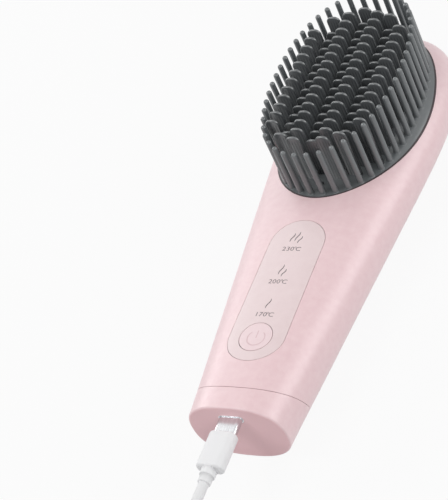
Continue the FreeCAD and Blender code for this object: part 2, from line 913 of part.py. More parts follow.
def make_cable_coil():
    """Put-away length wound in layers, as one unbroken tube with straight ends."""
    steps = round(coil_sweep * 4)
    turns = [coil_sweep * step / steps for step in range(steps + 1)]
    edges = [Part.LineSegment(coil_point(0) - coil_heading(0) * coil_stub, coil_point(0)).toShape()]
    for near, far in zip(turns[:-1], turns[1:]):
        edges += biarc(coil_point(near), coil_heading(near), coil_point(far), coil_heading(far))
    last = coil_point(coil_sweep)
    edges.append(Part.LineSegment(last, last + coil_heading(coil_sweep) * coil_stub).toShape())
    path = Part.Wire(Part.sortEdges(edges)[0])
    start = coil_point(0) - coil_heading(0) * coil_stub
    tube = path.makePipeShell([Part.Wire(Part.makeCircle(cable_radius, start, coil_heading(0)))], True, False)
    samples = 48
    points = [coil_point(step / samples) for step in range(int(coil_sweep * samples) + 1)]
    least = min(points[i].distanceToPoint(points[j]) for i in range(len(points))
                for j in range(i + samples // 2, len(points)))
    print("coil length", round(path.Length, 1), "least gap", round(least - 2 * cable_radius, 2),
          "volume share", round(tube.Volume / (math.pi * cable_radius ** 2 * path.Length), 4))
    return tube


def make_cable_tie():
    """Band round the bundle of turns, on the coil's far side."""
    room = coil_outer - coil_inner + 2 * cable_radius + 2 * tie_gap
    height = coil_top + cable_radius + tie_gap - tie_thickness
    near = -coil_distance - coil_mean_radius - room / 2
    band = block(tie_width, room + 2 * tie_thickness, height + 2 * tie_thickness, near - tie_thickness, 0,
                 coil_x)
    return band.cut(block(tie_width, room, height, near, tie_thickness, coil_x))


def make_usb_a_body():
    """Moulded grip of the plug on the far end."""
    near = tail_route[-1]
    grip = block(a_grip_width, a_grip_length, a_grip_height, near.y, near.z - a_grip_height / 2, near.x)
    edges = [edge for edge in grip.Edges if edge.BoundBox.YLength > a_grip_length / 2]
    return grip.makeFillet(a_grip_round, edges)


def make_usb_a_shell():
    """Folded steel tip of the far plug, half filled by its contact carrier."""
    near = tail_route[-1] + ALONG * a_grip_length
    bottom = near.z - a_tip_height / 2
    shell = block(a_tip_width, a_tip_length, a_tip_height, near.y, bottom, near.x)
    mouth_height = a_tip_height - 2 * a_tip_wall - a_tongue_height
    mouth_width = a_tip_width - 2 * a_tip_wall
    mouth = block(mouth_width, a_tip_length, mouth_height, near.y, bottom + a_tip_wall, near.x)
    return shell.cut(mouth)


pieces = {
    "body_shell": make_body_shell(),
    "base_cap": make_base_cap(),
    "control_panel": make_control_panel(),
    "bristle_plate": make_bristle_plate(),
    "ring_pins": make_ring_pins(),
    "comb_fins": make_comb_fins(),
    "heat_fins": make_heat_fins(),
    "heating_plate": make_heating_plate(),
    "ceramic_heater": make_ceramic_heater(),
    "insulation_sheet": make_insulation_sheet(),
    "heater_frame": make_heater_frame(),
    "heater_screws": make_heater_screws(),
    "thermistor": make_thermistor(),
    "thermal_fuse": make_thermal_fuse(),
    "ion_generator": make_ion_generator(),
    "ion_needles": make_ion_needles(),
    "battery_cell": make_battery_cell(),
    "battery_tabs": make_battery_tabs(),
    "chassis": make_chassis(),
    "control_board": make_control_board(),
    "board_screws": make_board_screws(),
    "tact_switch": make_tact_switch(),
    "indicator_leds": make_indicator_leds(),
    "charging_board": make_charging_board(),
    "usb_socket_shell": make_usb_socket_shell(),
    "usb_socket_tongue": make_usb_socket_tongue(),
    "power_button": make_power_button(),
    "switch_plunger": make_switch_plunger(),
    "usb_plug_shell": make_usb_plug_shell(),
    "usb_plug_body": make_usb_plug_body(),
    "plug_boot": make_plug_boot(),
    "cable_lead": make_cord(lead_route),
    "cable_coil": make_cable_coil(),
    "cable_tie": make_cable_tie(),
    "cable_tail": make_cord(tail_route),
    "usb_a_body": make_usb_a_body(),
    "usb_a_shell": make_usb_a_shell(),
}

os.makedirs("parts", exist_ok=True)
for name, piece in pieces.items():
    piece.translate(Vector(0, -body_length / 2, 0))
    piece.exportStep("parts/" + name + ".step")
    print(name, len(piece.Solids), piece.isValid(), round(piece.Volume, 2))
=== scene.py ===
import math

import bpy
import numpy as np
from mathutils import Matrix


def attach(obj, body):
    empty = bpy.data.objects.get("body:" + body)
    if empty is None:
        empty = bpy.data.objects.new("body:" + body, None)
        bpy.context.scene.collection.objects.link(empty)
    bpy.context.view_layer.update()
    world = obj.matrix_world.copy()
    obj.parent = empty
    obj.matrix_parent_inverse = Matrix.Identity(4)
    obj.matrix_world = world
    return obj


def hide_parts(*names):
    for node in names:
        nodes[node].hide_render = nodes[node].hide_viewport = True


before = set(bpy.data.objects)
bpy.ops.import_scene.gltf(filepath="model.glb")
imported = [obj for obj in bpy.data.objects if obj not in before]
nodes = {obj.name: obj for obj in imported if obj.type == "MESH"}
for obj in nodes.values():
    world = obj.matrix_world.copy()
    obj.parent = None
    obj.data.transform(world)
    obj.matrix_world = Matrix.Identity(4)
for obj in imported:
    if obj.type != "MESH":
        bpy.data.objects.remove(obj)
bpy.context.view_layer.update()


# Chassis, cell and tabs
# The real chassis is a black glass-filled nylon cradle that slides into the sleeve from the base.
# It holds one lithium cell in a heat-shrunk sleeve, with a spot-welded nickel tab on each end.

def set_inputs(node, values):
    """Gives a node's inputs their values."""
    for socket, value in values.items():
        node.inputs[socket].default_value = value


def add_node(tree, kind, values=None, operation=None):
    """Shader node of a kind, with some of its inputs set."""
    node = tree.nodes.new("ShaderNode" + kind)
    set_inputs(node, values or {})
    if operation:
        node.operation = operation
    return node


def join(tree, *pairs):
    """Links outputs to inputs, pair by pair."""
    for output, target in pairs:
        tree.links.new(output, target)


def value_group(name, inputs, kind, outputs):
    """Node group with inputs of one kind and plain values as outputs, and its two end nodes."""
    group = bpy.data.node_groups.new(name, "ShaderNodeTree")
    for socket in inputs:
        group.interface.new_socket(socket, in_out="INPUT", socket_type=kind)
    for socket in outputs:
        group.interface.new_socket(socket, in_out="OUTPUT", socket_type="NodeSocketFloat")
    return group, group.nodes.new("NodeGroupInput"), group.nodes.new("NodeGroupOutput")


def grain_group():
    """Fine moulded grain: two noises of Object coordinates.

    One is for the drift of the colour, the other for the height of the bump.
    """
    group, entry, leave = value_group("moulded_grain", ("Drift scale", "Grain scale"),
                                      "NodeSocketFloat", ("Drift", "Grain"))
    place = add_node(group, "TexCoord")
    for out, detail in (("Drift", 3.0), ("Grain", 2.0)):
        noise = add_node(group, "TexNoise", {"Detail": detail})
        join(group,
             (place.outputs["Object"], noise.inputs["Vector"]),
             (entry.outputs[out + " scale"], noise.inputs["Scale"]),
             (noise.outputs["Fac"], leave.inputs[out]))
    return group


def streak_group():
    """Drawn or brushed metal: noise of Object coordinates stretched long along one way."""
    group, entry, leave = value_group("drawn_streaks", ("Stretch",), "NodeSocketVector",
                                      ("Streak",))
    place = add_node(group, "TexCoord")
    pull = add_node(group, "VectorMath", operation="MULTIPLY")
    noise = add_node(group, "TexNoise", {"Scale": 1.0, "Detail": 4.0})
    join(group,
         (place.outputs["Object"], pull.inputs[0]),
         (entry.outputs["Stretch"], pull.inputs[1]),
         (pull.outputs["Vector"], noise.inputs["Vector"]),
         (noise.outputs["Fac"], leave.inputs["Streak"]))
    return group


moulded_grain = grain_group()
drawn_streaks = streak_group()


def screen(levels):
    """Colour from screen levels of 0 to 255, as the linear light that shaders take.

    The screen's curve is a straight line near black and a power of 2.4 above it.
    """
    share = np.array(levels) / 255
    light = np.where(share <= 0.04045, share / 12.92, ((share + 0.055) / 1.055) ** 2.4)
    return (*light.tolist(), 1.0)


TINT_STOPS = (0.3, 0.7)


def varied_finish(name, group, scales, light, dark, rough, swing, bump):
    """Skin that a node group varies from place to place.

    The group's first value mixes two close tints and swings the roughness by a share to both
    sides. Its last value raises a bump, given by its strength and its height in metres.
    """
    finish = bpy.data.materials.new(name)
    finish.use_nodes = True
    tree = finish.node_tree
    shader = tree.nodes["Principled BSDF"]
    source = add_node(tree, "Group")
    source.node_tree = group
    set_inputs(source, scales)
    tint = add_node(tree, "ValToRGB")
    for stop, position, levels in zip(tint.color_ramp.elements, TINT_STOPS, (dark, light)):
        stop.position = position
        stop.color = screen(levels)
    spread = add_node(tree, "MapRange",
                      {"To Min": rough * (1 - swing), "To Max": rough * (1 + swing)})
    raised = add_node(tree, "Bump", {"Strength": bump[0], "Distance": bump[1]})
    drift, grain = source.outputs[0], source.outputs[-1]
    join(tree,
         (drift, tint.inputs["Fac"]),
         (tint.outputs["Color"], shader.inputs["Base Color"]),
         (drift, spread.inputs["Value"]),
         (spread.outputs["Result"], shader.inputs["Roughness"]),
         (grain, raised.inputs["Height"]),
         (raised.outputs["Normal"], shader.inputs["Normal"]))
    return finish


MOULDED_SWING, METAL_SWING = 0.15, 0.3
GRAIN_HEIGHT, STREAK_HEIGHT = 0.00005, 0.00003
STREAK_DEPTH = 0.1


def moulded_finish(name, light, dark, rough, drift=30.0, grain=2500.0, depth=0.1):
    """Moulded skin: colour and roughness drift slightly, and the grain raises a fine bump."""
    scales = {"Drift scale": drift, "Grain scale": grain}
    return varied_finish(name, moulded_grain, scales, light, dark, rough, MOULDED_SWING,
                         (depth, GRAIN_HEIGHT))


def metal_finish(name, light, dark, rough, stretch):
    """Bare metal: the streaks vary tint and roughness and raise a slight bump."""
    finish = varied_finish(name, drawn_streaks, {"Stretch": stretch}, light, dark, rough,
                           METAL_SWING, (STREAK_DEPTH, STREAK_HEIGHT))
    set_inputs(finish.node_tree.nodes["Principled BSDF"], {"Metallic": 1.0})
    return finish


def dress(finish, *names):
    """Gives CAD nodes a finish."""
    for name in names:
        nodes[name].data.materials.clear()
        nodes[name].data.materials.append(finish)


dress(moulded_finish("chassis_nylon", (48, 49, 51), (40, 41, 43), 0.6), "chassis")
dress(moulded_finish("cell_sleeve", (58, 104, 150), (50, 96, 142), 0.3, depth=0.04),
      "battery_cell")
dress(metal_finish("nickel_tab", (205, 200, 190), (186, 181, 172), 0.3, (300, 3000, 300)),
      "battery_tabs")


# Control board, its screws, switch and lamps
# A glass-epoxy board with green solder mask sits on the chassis rails with four screws.
# The switch has a moulded black body, and clear lamps stand in pairs under the panel's marks.

dress(moulded_finish("board_mask", (38, 96, 62), (30, 84, 54), 0.35, drift=400.0),
      "control_board", "charging_board")
dress(metal_finish("zinc_screw", (200, 200, 198), (176, 176, 176), 0.35, (900, 900, 200)),
      "board_screws", "heater_screws")
dress(moulded_finish("switch_black", (34, 34, 35), (28, 28, 29), 0.5),
      "tact_switch", "usb_socket_tongue")
dress(moulded_finish("lamp_lens", (244, 240, 226), (236, 231, 214), 0.2, depth=0.02),
      "indicator_leds")


# Charging socket
# The real socket is a sleeve of drawn stainless steel round a black contact tongue.
# It is soldered to its own small board behind the base face, its rim flush with that face.

socket_steel = metal_finish("socket_steel", (226, 227, 229), (208, 209, 212), 0.22,
                            (2500, 200, 2500))
dress(socket_steel, "usb_socket_shell")


# Body sleeve and base cap
# Each is one injection moulding in ABS, sprayed with a pearly satin pink under a thin clear coat.
# The cap closes the sleeve's open end: its lip slips inside, so only a slanted seam line shows.
# Its flat base face stays matt; the deeper pink on it is painted shade, as that face turns from the
# light.

BODY_PINK = ((241, 211, 214), (236, 203, 207))
# Painted shade: the deeper pink of the base face, which turns away from the light.
FACE_SHADE_PINK = (243, 201, 205)
SATIN, MATT = 0.4, 0.85
BASE_FACE = -0.0915
FACE_EDGE = 0.0003


def painted_finish(name, light, dark, rough=SATIN):
    """Pearly satin paint: the moulded finish with a stronger sheen and a clear coat on top."""
    finish = moulded_finish(name, light, dark, rough, drift=420.0, grain=1800.0, depth=0.05)
    set_inputs(finish.node_tree.nodes["Principled BSDF"],
               {"Specular IOR Level": 0.85, "Coat Weight": 0.4, "Coat Roughness": 0.32})
    return finish


dress(painted_finish("satin_pink", *BODY_PINK), "body_shell")


def cap_finish():
    """The sleeve's paint, which turns into the matt base face, where a deeper pink is painted
    shade.

    The change runs along Y over the last 0.3 mm before the face.
    """
    finish = painted_finish("cap_pink", *BODY_PINK)
    tree = finish.node_tree
    shader = tree.nodes["Principled BSDF"]
    place = add_node(tree, "TexCoord")
    split = add_node(tree, "SeparateXYZ")
    flat = add_node(tree, "MapRange", {"From Min": BASE_FACE + FACE_EDGE, "From Max": BASE_FACE})
    face_shade = add_node(tree, "MixRGB", {"Color2": screen(FACE_SHADE_PINK)})
    dull = add_node(tree, "MapRange", {"To Min": SATIN, "To Max": MATT})
    join(tree,
         (place.outputs["Object"], split.inputs["Vector"]),
         (split.outputs["Y"], flat.inputs["Value"]),
         (flat.outputs["Result"], face_shade.inputs["Fac"]),
         (tree.nodes["Color Ramp"].outputs["Color"], face_shade.inputs["Color1"]),
         (face_shade.outputs["Color"], shader.inputs["Base Color"]),
         (flat.outputs["Result"], dull.inputs["Value"]),
         (dull.outputs["Result"], shader.inputs["Roughness"]))
    return finish


dress(cap_finish(), "base_cap")


# Heater stack
# An aluminium plate over a flat ceramic element and a mica sheet, screwed to a plastic carrier.
# A glass bead sensor and a small metal fuse lie against the plate beyond the element's two ends.

dress(metal_finish("milled_aluminium", (206, 207, 209), (190, 191, 194), 0.4, (200, 2500, 200)),
      "heating_plate")
dress(moulded_finish("heater_ceramic", (232, 229, 222), (222, 218, 210), 0.6), "ceramic_heater")
dress(moulded_finish("mica_sheet", (186, 168, 138), (164, 146, 118), 0.45, drift=180.0),
      "insulation_sheet")
dress(moulded_finish("carrier_plastic", (74, 72, 70), (66, 64, 62), 0.6), "heater_frame")
dress(moulded_finish("sensor_bead", (196, 120, 76), (180, 106, 66), 0.3), "thermistor")
dress(metal_finish("fuse_case", (190, 192, 194), (172, 174, 177), 0.35, (3000, 300, 300)),
      "thermal_fuse")


# Ion generator and its needles
# A potted high-voltage module in a dark plastic box stands behind the heater.
# It feeds two steel needles, which stand on insulating feet under the outlets.

dress(moulded_finish("potting_box", (52, 54, 60), (44, 46, 52), 0.45), "ion_generator")
dress(metal_finish("needle_steel", (196, 197, 199), (178, 179, 182), 0.25, (1500, 1500, 200)),
      "ion_needles")


# Bristle plate
# The real plate is one moulding in dark grey heat-proof nylon, let flush into the head.
# Slots in it let the heated blades through, and a small round outlet near each end the ions.

grey_nylon = moulded_finish("grey_nylon", (108, 112, 114), (100, 104, 106), 0.2)
set_inputs(grey_nylon.node_tree.nodes["Principled BSDF"], {"Specular IOR Level": 0.8})
dress(grey_nylon, "bristle_plate")


# Painted shade round the plate
# A thin flat dark bead lies in the gap between the plate and the head, as painted shade of that
# gap.
# It shows as a fine dark line round the plate.

BODY_LENGTH = 183.0
MID_HEIGHT = 12.65
BASE_HALF, FLANK_SLOPE = 17.2, 0.1088
WIDTH_CLOSES, DEPTH_CLOSES = 90.0, 140.0
SKIN_POWER = 2.5
PLATE_CENTRE = 134.6
PLATE_HALF = (27.5, 43.9)
GAP_SHADE_HALF = (0.3, 0.08)
GAP_SHADE_STEPS, GAP_SHADE_AROUND = 240, 8


def head_share(place, start):
    """Share of the way from the place where the head starts to close to its end."""
    return np.maximum(0, place - start) / (BODY_LENGTH - start)


def half_width(place):
    """Half the body's width: a straight taper times the root of one minus a fourth power."""
    closed = np.sqrt(np.maximum(0, 1 - head_share(place, WIDTH_CLOSES) ** 4))
    return (BASE_HALF + FLANK_SLOPE * place) * closed


def half_depth(place):
    """Half the body's depth: an even height times the root of one minus a third power."""
    return MID_HEIGHT * np.sqrt(np.maximum(0, 1 - head_share(place, DEPTH_CLOSES) ** 3))


def front_height(x, place):
    """Height of the front skin: a superellipse over each place along the brush."""
    side = np.minimum(1, np.abs(x) / half_width(place))
    return MID_HEIGHT + half_depth(place) * (1 - side ** SKIN_POWER) ** (1 / SKIN_POWER)


def in_frame(points):
    """Points in millimetres with places from the base face, moved into the frame in metres."""
    return (np.reshape(points, (-1, 3)) - [0, BODY_LENGTH / 2, 0]) / 1000


def set_down(name, data):
    """Object for a mesh, curve, lamp or camera, linked into the scene."""
    thing = bpy.data.objects.new(name, data)
    bpy.context.scene.collection.objects.link(thing)
    return thing


def make_piece(name, points, faces, finish):
    """Smooth mesh object from points in millimetres, with a finish."""
    mesh = bpy.data.meshes.new(name)
    mesh.from_pydata(in_frame(points).tolist(), [], faces)
    mesh.shade_smooth()
    mesh.materials.append(finish)
    return set_down(name, mesh)


def full_turn(count):
    """Angles at equal steps once round."""
    return 2 * np.pi * np.arange(count) / count


def gap_shade_bead():
    """Flat ellipse section on the skin, carried once round the plate's elliptical edge."""
    turn = full_turn(GAP_SHADE_STEPS)[:, None]
    section = full_turn(GAP_SHADE_AROUND)
    out = GAP_SHADE_HALF[0] * np.cos(section)
    x = (PLATE_HALF[0] + out) * np.sin(turn)
    place = PLATE_CENTRE + (PLATE_HALF[1] + out) * np.cos(turn)
    level = front_height(x, place) + GAP_SHADE_HALF[1] * np.sin(section)
    return np.stack([x, place, level], axis=-1)


def band_faces(rings, around):
    """Quads between rings of points, closed on themselves both ways."""
    ring, here = np.indices((rings, around)).reshape(2, -1)
    row, next_row = ring * around, (ring + 1) % rings * around
    there = (here + 1) % around
    return np.stack([row + here, row + there, next_row + there, next_row + here], axis=1).tolist()


# Dark finish of the bead: painted shade in the plate's gap.
gap_shade_finish = moulded_finish("gap_shade_finish", (60, 46, 49), (52, 39, 42), 0.5)
gap_shade = make_piece("plate_gap_shade", gap_shade_bead(), band_faces(GAP_SHADE_STEPS, GAP_SHADE_AROUND), gap_shade_finish)
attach(gap_shade, "brush")


# Ring of guard pins
# Round pins of the same grey nylon stand near the plate's edge and keep the hot blades off the
# scalp. Each flares into the plate at its foot and ends in a dome.

PIN_COUNT, PIN_AROUND = 47, 16
RING_INSET = (3.6, 2.1)
RING_POWER = 2.25
WALK_STEPS = 721
PIN_FOOT, PIN_SHAFT, PIN_TIP = 1.3, 1.08, 1.0
PIN_SHOULDER = 43.4
FLARE_HEIGHT, FLARE_SINK, ROOT_DEPTH = 0.6, 0.05, 0.5
DOME_END = 0.47 * np.pi
ROUND_STEPS = 5


def stack_faces(copies, rings, around):
    """Quads between rings of points that lie one after another, for each copy.

    The first and the last ring of a copy are closed by a face of their own.
    """
    start = (np.arange(copies) * rings * around)[:, None, None]
    row = start + (np.arange(rings - 1) * around)[None, :, None]
    here = np.arange(around)[None, None, :]
    there = (here + 1) % around
    quads = np.stack([row + here, row + there, row + around + there, row + around + here],
                     axis=-1).reshape(-1, 4)
    first = (start + here[..., ::-1]).reshape(copies, around)
    last = (start + (rings - 1) * around + here).reshape(copies, around)
    return quads.tolist() + first.tolist() + last.tolist()


def quarter_turn(steps):
    """Angles at equal steps over a quarter circle."""
    return np.linspace(0, np.pi / 2, steps)


def bowed(wave):
    """A sine or cosine bent by a power, so that a pair of them draws a superellipse."""
    return np.sign(wave) * np.abs(wave) ** (2 / RING_POWER)


def ring_places():
    """Places at equal steps round a superellipse inside the plate's edge, by the length walked."""
    turn = np.linspace(0, 2 * np.pi, WALK_STEPS)
    x = (PLATE_HALF[0] - RING_INSET[0]) * bowed(np.sin(turn))
    place = PLATE_CENTRE - (PLATE_HALF[1] - RING_INSET[1]) * bowed(np.cos(turn))
    walked = np.r_[0, np.cumsum(np.hypot(np.diff(x), np.diff(place)))]
    goal = (np.arange(PIN_COUNT) + 0.5) / PIN_COUNT * walked[-1]
    return np.interp(goal, walked, x), np.interp(goal, walked, place)


def guard_pins():
    """Turned profile: a foot that flares slightly, a shaft that narrows and a domed tip.

    The foot's rings follow the skin and the dome's lie level. One ring halfway up joins them.
    """
    x, place = ring_places()
    flare, dome = quarter_turn(ROUND_STEPS), np.linspace(0, DOME_END, ROUND_STEPS)
    radius = np.r_[PIN_FOOT, PIN_SHAFT + (PIN_FOOT - PIN_SHAFT) * (1 - np.sin(flare)),
                   (PIN_SHAFT + PIN_TIP) / 2, PIN_TIP * np.cos(dome)]
    foot_rise = np.r_[-ROOT_DEPTH, FLARE_HEIGHT * (1 - np.cos(flare)) - FLARE_SINK]
    halfway = len(foot_rise)
    turn = full_turn(PIN_AROUND)
    points = np.empty((PIN_COUNT, len(radius), PIN_AROUND, 3))
    points[..., 0] = x[:, None, None] + radius[:, None] * np.cos(turn)
    points[..., 1] = place[:, None, None] + radius[:, None] * np.sin(turn)
    foot = points[:, :halfway]
    foot[..., 2] = front_height(foot[..., 0], foot[..., 1]) + foot_rise[:, None]
    points[:, halfway, :, 2] = (front_height(x, place)[:, None] + PIN_SHOULDER) / 2
    points[:, halfway + 1:, :, 2] = PIN_SHOULDER + PIN_TIP * np.sin(dome)[:, None]
    return points, stack_faces(*points.shape[:3])


ring_pins = make_piece("guard_pins", *guard_pins(), grey_nylon)
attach(ring_pins, "brush")
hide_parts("ring_pins")


# Comb blades
# Tall flat blades, moulded with the plate, stand in four columns inside the ring and part the
# hair. Fine upright ribs on their faces give the strands some grip.

RIB_PITCH = 0.00105
WAVE_RATE = 20
RIB_FADE = (1.2, 2.4)
# Painted shade: the darker grey laid into the grooves between the ribs.
GROOVE_SHADE_GREY = (74, 76, 78)
BLADE_ROUGH = 0.22


def ribbed_finish(name, light, dark, top):
    """Glossy moulded finish with upright ribs, a wave across the brush.

    The wave node turns 20 radians for each unit of its scale, which gives the pitch. The grooves
    between the ribs are painted darker as their shade, and run out a little below the top, so that
    the rim stays plain.
    """
    finish = moulded_finish(name, light, dark, BLADE_ROUGH)
    tree = finish.node_tree
    shader = tree.nodes["Principled BSDF"]
    set_inputs(shader, {"Specular IOR Level": 1.0})
    place = add_node(tree, "TexCoord")
    split = add_node(tree, "SeparateXYZ")
    ribs = add_node(tree, "TexWave", {"Scale": 2 * math.pi / WAVE_RATE / RIB_PITCH})
    ribs.bands_direction = "X"
    narrow = add_node(tree, "MapRange", {"From Min": 0.6})
    fade = add_node(tree, "MapRange", {"From Min": (top - RIB_FADE[0]) / 1000,
                                       "From Max": (top - RIB_FADE[1]) / 1000})
    groove = add_node(tree, "Math", operation="MULTIPLY")
    shade = add_node(tree, "MixRGB", {"Color2": screen(GROOVE_SHADE_GREY)})
    ridge = add_node(tree, "Bump", {"Strength": 0.35, "Distance": 0.0001})
    ridge.invert = True
    join(tree,
         (place.outputs["Object"], ribs.inputs["Vector"]),
         (place.outputs["Object"], split.inputs["Vector"]),
         (split.outputs["Z"], fade.inputs["Value"]),
         (ribs.outputs["Fac"], narrow.inputs["Value"]),
         (narrow.outputs["Result"], groove.inputs[0]),
         (fade.outputs["Result"], groove.inputs[1]),
         (groove.outputs["Value"], shade.inputs["Fac"]),
         (tree.nodes["Color Ramp"].outputs["Color"], shade.inputs["Color1"]),
         (shade.outputs["Color"], shader.inputs["Base Color"]),
         (groove.outputs["Value"], ridge.inputs["Height"]),
         (tree.nodes["Bump"].outputs["Normal"], ridge.inputs["Normal"]),
         (ridge.outputs["Normal"], shader.inputs["Normal"]))
    return finish


COLUMN_STEP = 5.575
SIDE_COLUMNS = 3
BLADE_PITCH = 4.28
BLADE_ROWS, MIDDLE_ROW = 32, 15
FIELD_INSET = (4.5, 7.9)


def in_field(x, offset):
    """Whether a place lies in the blades' ellipse, inside the ring of pins."""
    across, along = PLATE_HALF[0] - FIELD_INSET[0], PLATE_HALF[1] - FIELD_INSET[1]
    return (x / across) ** 2 + (offset / along) ** 2 <= 1


def blade_places(short):
    """Columns at even steps, in turn half a pitch out of step.

    Every second column holds the short blades, but its last blade is tall where the ellipse ends.
    """
    row, column = np.indices((BLADE_ROWS, 2 * SIDE_COLUMNS + 1)).reshape(2, -1)
    column = column - SIDE_COLUMNS
    x = COLUMN_STEP * column
    offset = BLADE_PITCH / 2 * (row - MIDDLE_ROW)
    filled = in_field(x, offset) & ((column + row) % 2 == 1)
    heated = (column % 2 == 0) & in_field(x, np.abs(offset) + BLADE_PITCH)
    kept = filled & (heated == short)
    return x[kept], PLATE_CENTRE - BLADE_PITCH / 2 + offset[kept]


ARCH_RADIUS, ARCH_FLAT = 2.2, 0.45
ARCH_STEPS = 8
BLADE_HALF = 0.6
ROUND_OVER, FACE_INSET = 0.42, 0.5
MOULD_DRAFT = 0.2


def blades(x, place, bottom, top):
    """Plates with an arched outline, drawn in at both faces by a quarter circle.

    The draft of the mould thins them by a fifth from the foot to the top.
    """
    over = quarter_turn(ROUND_STEPS)
    inset = ROUND_OVER * (1 - np.sin(over))
    depth = ROUND_OVER * (1 - np.cos(over)) - BLADE_HALF
    inset = np.r_[FACE_INSET, inset, inset[::-1], FACE_INSET]
    depth = np.r_[-BLADE_HALF, depth, -depth[::-1], BLADE_HALF]
    turn = np.r_[np.pi, np.linspace(np.pi, np.pi / 2, ARCH_STEPS),
                 np.linspace(np.pi / 2, 0, ARCH_STEPS), 0]
    arm = ARCH_RADIUS - inset[:, None]
    centre = np.repeat([-ARCH_FLAT, ARCH_FLAT], ARCH_STEPS + 1)
    foot = bottom[:, None, None]
    points = np.empty((len(x), len(inset), len(turn), 3))
    points[..., 0] = x[:, None, None] + (arm * np.cos(turn) + centre)
    points[..., 2] = top - ARCH_RADIUS + arm * np.sin(turn)
    points[:, :, [0, -1], 2] = foot
    thinning = 1 - MOULD_DRAFT * (points[..., 2] - foot) / (top - foot)
    points[..., 1] = place[:, None, None] + depth[:, None] * thinning
    return points, stack_faces(*points.shape[:3])


TALL_TOP = 44.8
FOOT_SINK = 0.3
comb_nylon = ribbed_finish("comb_nylon", (98, 101, 103), (90, 93, 95), TALL_TOP)
tall_x, tall_place = blade_places(False)
tall_foot = front_height(np.abs(tall_x) + ARCH_RADIUS + ARCH_FLAT, tall_place) - FOOT_SINK
comb_blades = make_piece("comb_blades", *blades(tall_x, tall_place, tall_foot, TALL_TOP),
                         comb_nylon)
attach(comb_blades, "brush")
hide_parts("comb_fins")


# Heated blades
# Shorter blades rise from the heating plate through the slots, between the tall ones.
# They carry a dark ceramic coat that lets hair slide over them.

SHORT_TOP = 41.3
HEATER_LEVEL = 17.2
ceramic_coat = ribbed_finish("ceramic_coat", (92, 95, 97), (84, 87, 89), SHORT_TOP)
short_x, short_place = blade_places(True)
short_foot = np.full(len(short_x), HEATER_LEVEL)
heat_blades = make_piece("heat_blades", *blades(short_x, short_place, short_foot, SHORT_TOP),
                         ceramic_coat)
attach(heat_blades, "brush")
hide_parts("heat_fins")


# Control panel
# A thin cover in the same satin paint, a little greyer, pressed flush into the sleeve's recess.
# Heat marks and temperatures are printed on it in grey ink, over the lamps.

panel_paint = painted_finish("panel_paint", (234, 214, 215), (231, 210, 211), rough=0.42)
dress(panel_paint, "control_panel")
grey_ink = moulded_finish("grey_ink", (118, 108, 110), (108, 98, 100), 0.5, drift=300.0)
WAVE_STEPS = 19
WAVE_LEAN, WAVE_SWING = 0.88, 0.22
STROKE_END, STROKE_SWELL = 0.07, 0.13
INK_TOP, INK_FOOT = 0.03, -0.05


def heat_wave(x, place, height):
    """Leaning S-shaped stroke: a sine about a slanted line, thickest in the middle.

    It is a thin slab with four corners to each section, laid on the skin.
    """
    share = np.linspace(0, 1, WAVE_STEPS)
    middle = x + WAVE_LEAN * (share - 0.5) - WAVE_SWING * np.sin(2 * np.pi * share)
    width = STROKE_END + STROKE_SWELL * np.sin(np.pi * share)
    left, right = middle - width, middle + width
    lift = np.array([INK_TOP, INK_TOP, INK_FOOT, INK_FOOT])
    across = np.stack([left, right, right, left], axis=1)
    along = np.repeat((place + height * (share - 0.5))[:, None], len(lift), axis=1)
    return np.stack([across, along, front_height(across, along) + lift], axis=-1)


# Middle across and along the brush, and height, of one, two and three strokes.
STROKE_ROWS = (
    (-0.46, 42.9, 4.0),
    (-1.08, 57.7, 4.3), (0.3, 56.3, 3.2),
    (-1.98, 72.0, 3.8), (-0.25, 72.5, 4.1), (1.11, 71.1, 3.1),
)
strokes = np.stack([heat_wave(*row) for row in STROKE_ROWS])
wave_print = make_piece("wave_marks", strokes, stack_faces(*strokes.shape[:3]), grey_ink)
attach(wave_print, "brush")

NUMBER_SIZE, NUMBER_WIDEN = 2.5, 1.16
NUMBER_THIN = -0.015
NUMBER_GAPS = (2.0, 2.0, -8.0, -13.0)
SLAB_HALF, SLAB_SINK = 0.04, 0.01


def printed_number(name, words, x, place):
    """Lettering as a thin slab, widened a little, its outline laid over the skin point by point.

    The unit's small ring and letter stand closer together than the digits.
    """
    text = bpy.data.curves.new(name, "FONT")
    text.body = words
    text.size = NUMBER_SIZE
    text.offset = NUMBER_THIN
    for letter, gap in zip(text.body_format, NUMBER_GAPS):
        letter.kerning = gap
    text.align_x = "CENTER"
    text.align_y = "CENTER"
    text.extrude = SLAB_HALF
    text.resolution_u = 4
    holder = set_down(name, text)
    bpy.context.view_layer.update()
    mesh = bpy.data.meshes.new_from_object(holder)
    bpy.data.objects.remove(holder)
    flat = np.empty(len(mesh.vertices) * 3)
    mesh.vertices.foreach_get("co", flat)
    flat = flat.reshape(-1, 3)
    across = x + NUMBER_WIDEN * flat[:, 0]
    along = place + flat[:, 1]
    level = front_height(across, along) + flat[:, 2] - SLAB_SINK
    mesh.vertices.foreach_set("co", in_frame(np.stack([across, along, level], axis=1)).ravel())
    mesh.name = name
    mesh.materials.clear()
    mesh.materials.append(grey_ink)
    piece = set_down(name, mesh)
    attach(piece, "brush")


printed_number("print_170", "170°C", x=-0.3, place=38.2)
printed_number("print_200", "200°C", x=-0.5, place=52.35)
printed_number("print_230", "230°C", x=-0.6, place=66.85)


# Power button
# A round key in the sleeve's pink, held from behind by its flange, with a stem onto the switch.
# A power sign, a ring open at the top with a short bar in it, stands slightly raised on its face;
# its deeper pink is painted shade.

button_paint = painted_finish("button_paint", (240, 216, 219), (237, 212, 215))
dress(button_paint, "power_button")
dress(moulded_finish("stem_plastic", (238, 236, 232), (230, 228, 224), 0.5), "switch_plunger")
BUTTON_PLACE = 28.9
SIGN_X, SIGN_DROP = 0.25, 0.4
SIGN_RADIUS = 3.05
SIGN_ARC = (130, 410)
BAR_SPAN = (-0.5, 2.6)
LINE_WIDTH, LINE_HEIGHT = 0.4, 0.08
LINE_STEPS, LINE_AROUND = 57, 12
END_POWER, END_SIZE = 24, 0.02


